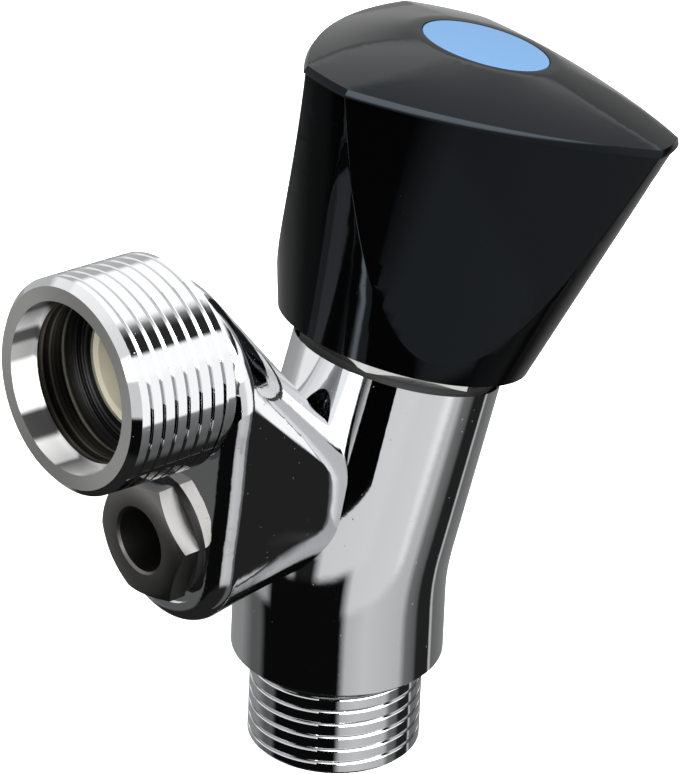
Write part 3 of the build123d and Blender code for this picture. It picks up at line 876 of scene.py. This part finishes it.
@dataclass
class Studio:
    """Floor, lights and the surroundings that the chrome reflects."""

    camera_azimuth: float = CAMERA_AZIMUTH
    floor_size: float = 3.0
    flag_place: tuple[float, float, float] = (-51.0 * MM, -46.0 * MM, 45.5 * MM)
    flag_size: tuple[float, float] = (32.0 * MM, 29.0 * MM)
    flag_turn: float = -51.4
    floor_glow: float = 0.35
    lamp_aim: tuple[float, float, float] = (0.0, 0.0, 0.05)
    lowest_stops: tuple[tuple[float, float], ...] = (
        (-180, 0.02),
        (50, 0.02),
        (70, 0.13),
        (100, 0.13),
        (112, 0.02),
        (180, 0.02),
    )
    bands: tuple[WallBand, ...] = (
        WallBand(
            (-50, -42),
            (
                (-180, 0.3),
                (-125, 0.3),
                (-105, 0.12),
                (-92, 0.12),
                (-84, 0.004),
                (2, 0.004),
                (10, 0.6),
                (30, 0.72),
                (72, 0.6),
                (80, 0.2),
                (92, 0.13),
                (97, 0.02),
                (118, 0.02),
                (120, 0.6),
                (122, 0.6),
                (125, 0.16),
                (180, 0.3),
            ),
        ),
        WallBand(
            (-27, -24),
            (
                (-180, 0.3),
                (-125, 0.45),
                (-84, 0.4),
                (-76, 0.004),
                (0, 0.004),
                (10, 0.8),
                (50, 0.85),
                (66, 1.3),
                (92, 1.3),
                (98, 0.02),
                (110, 0.02),
                (115, 1.3),
                (126, 1.3),
                (131, 0.03),
                (140, 0.03),
                (152, 0.45),
                (180, 0.55),
            ),
        ),
        WallBand(
            (-16, -12),
            (
                (-180, 0.55),
                (-150, 0.6),
                (-125, 0.6),
                (-118, 0.6),
                (-112, 1.1),
                (-57, 1.1),
                (-49, 0.015),
                (-32, 0.015),
                (-24, 0.8),
                (50, 0.9),
                (66, 1.3),
                (92, 1.3),
                (100, 0.04),
                (135, 0.1),
                (150, 0.45),
                (180, 0.55),
            ),
        ),
        WallBand(
            (12, 20),
            (
                (-180, 1.4),
                (-100, 1.0),
                (-25, 0.95),
                (-8, 8.0),
                (66, 8.0),
                (74, 1.4),
                (110, 1.3),
                (180, 1.4),
            ),
        ),
        WallBand(
            (31, 35),
            (
                (-180, 1.5),
                (-25, 0.95),
                (-8, 8.0),
                (66, 8.0),
                (74, 0.03),
                (112, 0.03),
                (124, 1.3),
                (180, 1.5),
            ),
        ),
        WallBand((44, 62), ((-180, 1.6), (180, 1.6))),
    )

    def build(self) -> list[bpy.types.Object]:
        """Make the world, the floor and the lamps.

        Returns:
            The stage objects.
        """
        self.surroundings()
        deselect()
        bpy.ops.mesh.primitive_plane_add(size=self.floor_size)
        floor = bpy.context.active_object
        floor.name = "floor"
        floor.data.materials.append(self.floor_material())
        lamps = [
            self.lamp("key_softbox", (-0.15, -0.35, 0.75), 0.6, 3.0),
            self.lamp("fill_softbox", (0.6, -0.3, 0.5), 0.5, 1.0),
        ]
        stage = [floor, self.flag(), *lamps]
        return stage

    def flag(self) -> bpy.types.Object:
        """Add a black cloth beside the tap, which only the chrome sees.

        Returns:
            The cloth.
        """
        deselect()
        bpy.ops.mesh.primitive_plane_add(size=1.0, location=self.flag_place)
        cloth = bpy.context.active_object
        cloth.name = "black_flag"
        cloth.scale = (*self.flag_size, 1.0)
        cloth.rotation_euler = (pi / 2, 0.0, radians(self.flag_turn))
        cloth.visible_camera = False
        cloth.visible_diffuse = False
        cloth.visible_shadow = False
        dress(cloth, BLACK_CLOTH)
        return cloth

    def floor_material(self) -> bpy.types.Material:
        """Make the pale floor, which only the camera sees.

        Returns:
            The floor's material.
        """
        made = bpy.data.materials.new("paper_matt_white")
        made.use_nodes = True
        tree = made.node_tree
        tree.nodes.clear()
        # White paper, matt: an even ground with a soft shadow, lit enough to stay white.
        paper = add_node(tree, "ShaderNodeBsdfDiffuse", values={"Color": linear("#FFFFFF")})
        glow = add_node(tree, "ShaderNodeEmission", values={"Strength": self.floor_glow})
        lit = add_node(tree, "ShaderNodeAddShader", links={0: paper.outputs[0], 1: glow.outputs[0]})
        clear = add_node(tree, "ShaderNodeBsdfTransparent")
        ray = add_node(tree, "ShaderNodeLightPath")
        mixed = add_node(
            tree,
            "ShaderNodeMixShader",
            links={0: ray.outputs["Is Camera Ray"], 1: clear.outputs[0], 2: lit.outputs[0]},
        )
        add_node(tree, "ShaderNodeOutputMaterial", links={"Surface": mixed.outputs[0]})
        return made

    def lamp(
        self, name: str, place: tuple[float, float, float], size: float, power: float
    ) -> bpy.types.Object:
        """Add one soft lamp that points at the tap.

        Args:
            name: Name of the lamp.
            place: Position in metres.
            size: Side of the square lamp in metres.
            power: Power in watts.

        Returns:
            The lamp object.
        """
        deselect()
        bpy.ops.object.light_add(type="AREA", location=place)
        lamp = bpy.context.active_object
        lamp.name = name
        lamp.data.size = size
        lamp.data.energy = power
        aim = Vector(self.lamp_aim) - Vector(place)
        lamp.rotation_euler = aim.to_track_quat("-Z", "Y").to_euler()
        lamp.visible_glossy = False
        return lamp

    def surroundings(self) -> None:
        """Set the world: white to the camera, banded studio walls to everything else."""
        world = bpy.data.worlds.new("studio")
        bpy.context.scene.world = world
        world.use_nodes = True
        tree = world.node_tree
        tree.nodes.clear()
        azimuth = radians(self.camera_azimuth)
        toward = (sin(azimuth), -cos(azimuth), 0.0)
        right = (cos(azimuth), sin(azimuth), 0.0)
        direction = add_node(tree, "ShaderNodeTexCoord").outputs["Generated"]
        parts = add_node(tree, "ShaderNodeSeparateXYZ", links={0: direction})
        axes = []
        for axis in (right, toward):
            dot = add_node(
                tree,
                "ShaderNodeVectorMath",
                settings={"operation": "DOT_PRODUCT"},
                values={1: axis},
                links={0: direction},
            )
            axes.append(dot.outputs["Value"])
        angle = add_node(
            tree,
            "ShaderNodeMath",
            settings={"operation": "ARCTAN2"},
            links={0: axes[0], 1: axes[1]},
        )
        share = add_node(
            tree,
            "ShaderNodeMath",
            settings={"operation": "MULTIPLY_ADD"},
            values={1: 1 / (2 * pi), 2: 0.5},
            links={0: angle.outputs[0]},
        )
        height = add_node(
            tree, "ShaderNodeMath", settings={"operation": "ARCSINE"}, links={0: parts.outputs["Z"]}
        )
        peak = max(level for band in self.bands for _, level in band.stops)

        def ring(stops: tuple[tuple[float, float], ...]) -> bpy.types.NodeSocket:
            """Add the brightness round one level of the walls, as a share of the peak.

            Args:
                stops: Turn in degrees and brightness of each stop.

            Returns:
                Socket that carries the brightness.
            """
            ramp = add_node(tree, "ShaderNodeValToRGB", links={0: share.outputs[0]})
            set_ramp(ramp, [((turn + 180) / 360, level / peak) for turn, level in stops])
            return ramp.outputs["Color"]

        walls = ring(self.lowest_stops)
        for band in self.bands:
            step = add_node(
                tree,
                "ShaderNodeMapRange",
                settings={"interpolation_type": "SMOOTHSTEP"},
                values={"From Min": radians(band.edge[0]), "From Max": radians(band.edge[1])},
                links={"Value": height.outputs[0]},
            )
            mixed = add_node(
                tree,
                "ShaderNodeMix",
                settings={"data_type": "RGBA"},
                links={0: step.outputs["Result"], 6: walls, 7: ring(band.stops)},
            )
            walls = mixed.outputs[2]
        reflected = add_node(
            tree, "ShaderNodeBackground", values={"Strength": peak}, links={"Color": walls}
        )
        white = add_node(tree, "ShaderNodeBackground", values={"Color": (1.0, 1.0, 1.0, 1.0)})
        ray = add_node(tree, "ShaderNodeLightPath")
        mixed = add_node(
            tree,
            "ShaderNodeMixShader",
            links={0: ray.outputs["Is Camera Ray"], 1: reflected.outputs[0], 2: white.outputs[0]},
        )
        add_node(tree, "ShaderNodeOutputWorld", links={"Surface": mixed.outputs[0]})


@dataclass
class PhotoCamera:
    """Camera at the photo's viewing angle."""

    azimuth: float = CAMERA_AZIMUTH
    elevation: float = 30.1
    roll: float = 2.4
    distance: float = 1198.56 * MM
    target: tuple[float, float, float] = (0.0, 0.0, 0.045)
    focal_pixels: float = 10000.0
    long_side: float = 774.0
    centre_right: float = 6.43
    centre_down: float = 24.2
    sensor_width: float = 36.0
    clip_end: float = 20.0

    def build(self) -> bpy.types.Object:
        """Add the camera and make it the scene's own.

        Returns:
            The camera object.
        """
        turn, lift, roll = radians(self.azimuth), radians(self.elevation), radians(self.roll)
        back = Vector((sin(turn) * cos(lift), -cos(turn) * cos(lift), sin(lift)))
        level = Vector((cos(turn), sin(turn), 0.0))
        upright = back.cross(level)
        right = level * cos(roll) + upright * sin(roll)
        up = upright * cos(roll) - level * sin(roll)
        deselect()
        bpy.ops.object.camera_add()
        camera = bpy.context.active_object
        camera.name = "photo_camera"
        rotation = Matrix((right, up, back)).transposed().to_4x4()
        place = Vector(self.target) + back * self.distance
        camera.matrix_world = Matrix.Translation(place) @ rotation
        lens = camera.data
        lens.sensor_width = self.sensor_width
        lens.lens = self.focal_pixels * self.sensor_width / self.long_side
        lens.shift_x = -self.centre_right / self.long_side
        lens.shift_y = self.centre_down / self.long_side
        lens.clip_end = self.clip_end
        lens.dof.use_dof = False
        bpy.context.scene.camera = camera
        return camera


def main() -> None:
    """Dress every node, put the finished pieces in place and set the stage."""
    logging.basicConfig(level=logging.INFO, format="%(message)s")
    for node, finish in NODE_FINISHES.items():
        dress(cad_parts[node], finish)
    casting = Casting().build()
    LOG.info("%s: %d faces", casting.name, len(casting.data.polygons))
    for plan in SMOOTH_PIECES:
        piece = plan.build()
        LOG.info("%s: %d faces", piece.name, len(piece.data.polygons))
    Studio().build()
    PhotoCamera().build()
    bpy.context.scene.view_settings.view_transform = "Standard"


if __name__ == "__main__":
    main()
